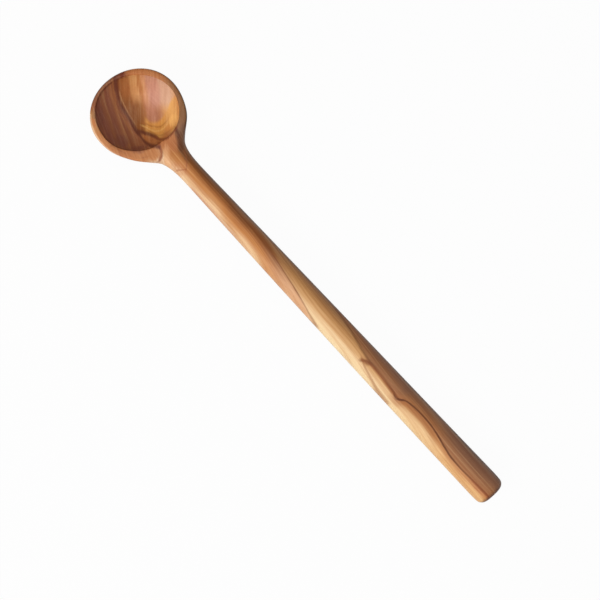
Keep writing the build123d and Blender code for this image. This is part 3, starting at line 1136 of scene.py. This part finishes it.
# %% Draw the lines of the handle
# points, width, start, end, how softly it fades there, colour and strength of each line
HANDLE_LINES = [
    (LONG_VEIN, 2.6, -40.0, -24.0, 10.0, (142, 84, 42), 0.7),
    (LONG_VEIN, 0.7, -26.0, -2.0, 10.0, (124, 66, 28), 0.6),
    (LONG_VEIN, 0.45, 0.0, 19.0, 10.0, (130, 74, 36), 0.5),
    (DARK_HALO, 4.6, 84.0, 104.0, 12.0, (170, 108, 60), 0.85),
    (ARROW_HALO, 1.5, 56.0, 78.0, 8.0, (158, 96, 54), 0.75),
    (DARK_SIDE, 1.3, 24.0, 54.0, 10.0, (110, 66, 34), 0.55),
    (DARK_SIDE, 0.9, 56.0, 77.0, 6.0, (118, 68, 36), 0.6),
    (DARK_SIDE, 0.8, 80.0, 118.0, 14.0, (96, 50, 24), 0.85),
    (DARK_SIDE, 0.65, 112.0, 200.0, 10.0, (100, 54, 28), 0.7),
    (DARK_SIDE, 1.2, 76.5, 81.0, 1.6, (104, 56, 30), 0.85),
    (ARROW_UPPER, 0.9, 51.0, 78.0, 1.0, (142, 82, 44), 0.65),
    (ARROW_LOWER, 0.8, 51.0, 76.0, 4.0, (160, 98, 54), 0.6),
    (ARROW_UPPER, 1.7, 51.0, 54.5, 2.5, (126, 68, 34), 0.75),
    (ARROW_FILL, 1.1, 51.2, 53.5, 2.5, (150, 92, 52), 0.6),
    (EDGE_RED, 0.45, -75.0, -48.0, 8.0, (190, 116, 78), 0.65),
    (EDGE_CREAM, 0.5, -75.0, -48.0, 8.0, (230, 198, 160), 0.5),
    (NECK_MARK_LOW, 0.8, -90.4, -87.8, 1.0, (166, 96, 58), 0.6),
    (NECK_MARK_HIGH, 0.8, -95.0, -87.8, 2.0, (158, 92, 54), 0.6),
    (END_RED, 1.0, 140.0, 200.0, 6.0, (150, 80, 46), 0.6),
    (END_RED_LOW, 0.7, 143.0, 200.0, 4.0, (176, 104, 62), 0.5),
]

figure = draw(figure, HANDLE_LINES, handle_line, wavy_layer, x)
print("lines on the handle:", len(HANDLE_LINES))

# %% [markdown]
# The handle's far flank gets a painted shade all along it, where it faces away from the key, and
# its end gets a painted shade that deepens towards the same side. A shadow could darken the flank,
# but only from one side, so both are painted into the colour.

# %% Painted shade on the flank and the end
# where the painted shade of the far flank begins, its colour, and the colour of the painted shade
# on the end
SHADED_FLANK = [(-95, 6.0), (-85, 4.7), (-50, 5.2), (0, 6.0), (50, 6.7), (100, 7.2), (152, 7.6)]
FLANK_SHADE = (88, 62, 46)
END_SHADE = (94, 50, 30)

# painted shade on the flank that faces away from the key
flank_line = {"Layer": wavy_layer, "Level": handle_line(SHADED_FLANK), "Along": x}
flank_shade = use(tree, beyond, Width=0.9, From=-92.0, To=200.0, **flank_line)
figure = coat(tree, figure, flank_shade, FLANK_SHADE, 0.6)
# painted shade on the end, deeper towards the flank away from the key
painted_end_shade = times(tree, ease(tree, x, 149.6, 151.8), ease(tree, leaning, -6.0, -1.0, 0.35, 0.85))
figure = mix(tree, painted_end_shade, figure, colour(*END_SHADE))
print("nodes so far:", len(tree.nodes))

# %% [markdown]
# Over the figure lies the fine texture of every piece of olive wood: soft streaks along the
# grain, fibres and short open pores. Pores could be modelled as holes, but they are far too
# small for that, so they only darken the surface, and dent it a little in the next step.

# %% Fine texture and pores
STREAK_SHADE = (206, 166, 142)
STREAK_LIGHT = (255, 216, 160)
FIBRE_SHADE = (176, 128, 100)
PORE_BROWN = (92, 54, 34)

bowl_streak = add(tree, "Mix", {0: right_of_vein, 2: heart_fine, 3: inner_fine}).outputs[0]
streak = add(tree, "Mix", {0: in_bowl, 2: fine, 3: bowl_streak}).outputs[0]
dark_streak = ease(tree, streak, 0.42, 0.68, 0.0, 0.28)
light_streak = ease(tree, streak, 0.5, 0.3, 0.0, 0.08)
dark_fibre = ease(tree, fibre, 0.35, 0.7, 0.0, 0.13)
pore = ease(tree, use(tree, fibres, Position=position, Stretch=PORE_STRETCH), 0.64, 0.74)
textured = mix(tree, dark_streak, figure, colour(*STREAK_SHADE), how="MULTIPLY")
textured = mix(tree, light_streak, textured, colour(*STREAK_LIGHT), how="SCREEN")
textured = mix(tree, dark_fibre, textured, colour(*FIBRE_SHADE), how="MULTIPLY")
textured = coat(tree, textured, pore, PORE_BROWN, 0.2)
tree.links.new(textured, shader.inputs["Base Color"])
print("texture goes to", shader.inputs["Base Color"].name)

# %% [markdown]
# Oiled wood is satin. An even roughness would look like plastic: here the fibres make the
# shine uneven, and a faint relief of fibres and pores breaks the highlight.

# %% Sheen and relief
FIBRE_RELIEF = 0.15 * MM

tree.links.new(ease(tree, fibre, 0.3, 0.7, 0.36, 0.5), shader.inputs["Roughness"])
relief = calc(tree, "MULTIPLY_ADD", pore, -0.5, fibre)
bump = add(tree, "Bump", {"Height": relief, "Strength": 0.25, "Distance": FIBRE_RELIEF})
tree.links.new(bump.outputs[0], shader.inputs["Normal"])
spoon_mesh.materials.append(wood)
print("olive wood:", len(tree.nodes), "nodes")

# %% [markdown]
# The photograph's background is pure white. More light on the spoon would burn out its pale
# wood, so the floor is painted grey and shows white only to the camera and to gloss and glass:
# the Light Path node tells those rays apart. A small share of the lit paper stays in, and with
# it a trace of the spoon's shadow.

# %% Floor
FLOOR_HALF_SIZE = 3.0
PAPER_GREY = (200, 200, 200)
WHITE_SHARE = 0.96

floor_grid = bmesh.new()
bmesh.ops.create_grid(floor_grid, x_segments=1, y_segments=1, size=FLOOR_HALF_SIZE)
floor_mesh = bpy.data.meshes.new("floor")
floor_grid.to_mesh(floor_mesh)
floor_grid.free()
floor = bpy.data.objects.new("floor", floor_mesh)
bpy.context.scene.collection.objects.link(floor)

paper = bpy.data.materials.new("pale_floor")
paper.use_nodes = True
paper_tree = paper.node_tree
paper_shader = paper_tree.nodes["Principled BSDF"]
paper_shader.inputs["Base Color"].default_value = colour(*PAPER_GREY)
paper_shader.inputs["Roughness"].default_value = 0.9
paper_shader.inputs["Specular IOR Level"].default_value = 0.0
white = add(paper_tree, "Emission", {"Color": (1, 1, 1, 1), "Strength": 1.0})
rays = add(paper_tree, "LightPath").outputs
seen = larger(paper_tree, rays["Is Glossy Ray"], rays["Is Transmission Ray"])
seen = times(paper_tree, larger(paper_tree, rays["Is Camera Ray"], seen), WHITE_SHARE)
blend = add(paper_tree, "MixShader", {0: seen, 1: paper_shader.outputs[0], 2: white.outputs[0]})
paper_tree.links.new(blend.outputs[0], paper_tree.nodes["Material Output"].inputs["Surface"])
floor_mesh.materials.append(paper)
print("floor:", 2 * FLOOR_HALF_SIZE, "m wide")

# %% [markdown]
# Two large soft boxes light the spoon, as in a product studio: the key from the front, which
# is the picture's lower left, and a weaker one from above. Large lamps make wide, calm
# highlights on satin wood, where a small lamp would make hard spots.

# %% Lamps
SPOON_MIDDLE = Vector((0, 0, 0))


def soft_box(name, place, size, power):
    """A rectangular area lamp that faces the middle of the spoon."""
    lamp_data = bpy.data.lights.new(name, "AREA")
    lamp_data.shape = "RECTANGLE"
    lamp_data.size, lamp_data.size_y = size
    lamp_data.energy = power
    lamp = bpy.data.objects.new(name, lamp_data)
    lamp.location = place
    lamp.rotation_euler = (SPOON_MIDDLE - lamp.location).to_track_quat("-Z", "Y").to_euler()
    bpy.context.scene.collection.objects.link(lamp)
    return lamp


key = soft_box("key", place=(0.0, -0.9, 0.75), size=(1.1, 0.6), power=10.2)
top_light = soft_box("top", place=(0.0, 0.1, 1.2), size=(0.8, 0.8), power=5.1)
for lamp in (key, top_light):
    print("lamp", lamp.name, "has", round(lamp.data.energy, 1), "W")

# %% [markdown]
# A dim white world fills the shadows, as the walls of a studio do. A third lamp could do
# that too, but it would cast a shadow of its own.

# %% World
WORLD_STRENGTH = 0.3

world = bpy.data.worlds.new("studio")
bpy.context.scene.world = world
world.use_nodes = True
background = world.node_tree.nodes["Background"]
background.inputs["Color"].default_value = (1, 1, 1, 1)
background.inputs["Strength"].default_value = WORLD_STRENGTH
print("world strength:", WORLD_STRENGTH)
